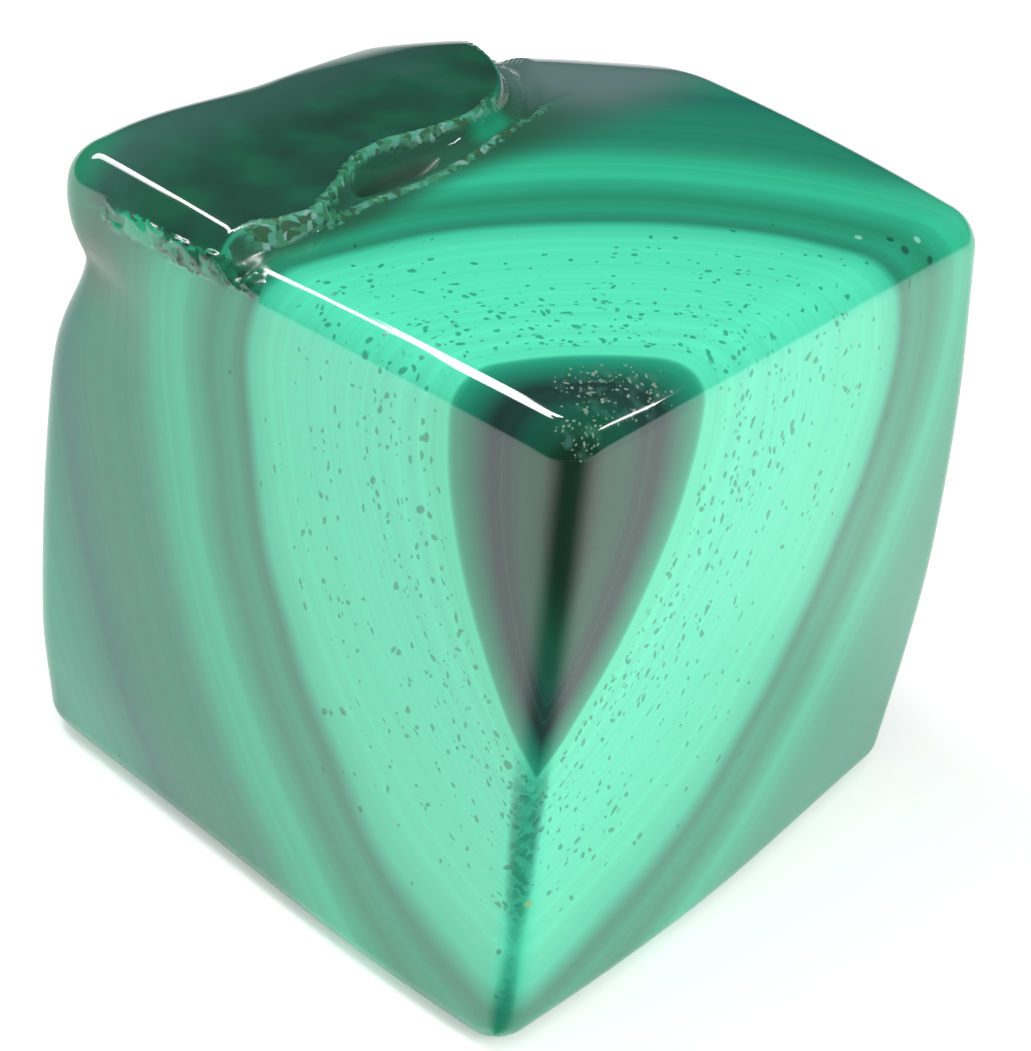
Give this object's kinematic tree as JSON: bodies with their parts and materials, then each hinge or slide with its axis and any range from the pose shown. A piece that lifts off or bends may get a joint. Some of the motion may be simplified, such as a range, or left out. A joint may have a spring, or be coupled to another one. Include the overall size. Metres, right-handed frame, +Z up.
{
  "type": "tumbled malachite cube",
  "caption": "Polished tumbled malachite cube with rounded edges, a low slab on its top parted by a seam, and a flat base to rest on.",
  "frame": {"origin": "centre of the bounding box, at the height of the flat base", "axes": "+Z up out of the base; -Y is the face that shows at the left of the picture and +X the face that shows at its right"},
  "size_m": [0.0198, 0.0196, 0.0203],
  "materials": {
    "polished_malachite": "banded green malachite, tumbled to a high gloss"
  },
  "bodies": {
    "root": {"malachite_cube": "polished_malachite"}
  },
  "joints": []
}
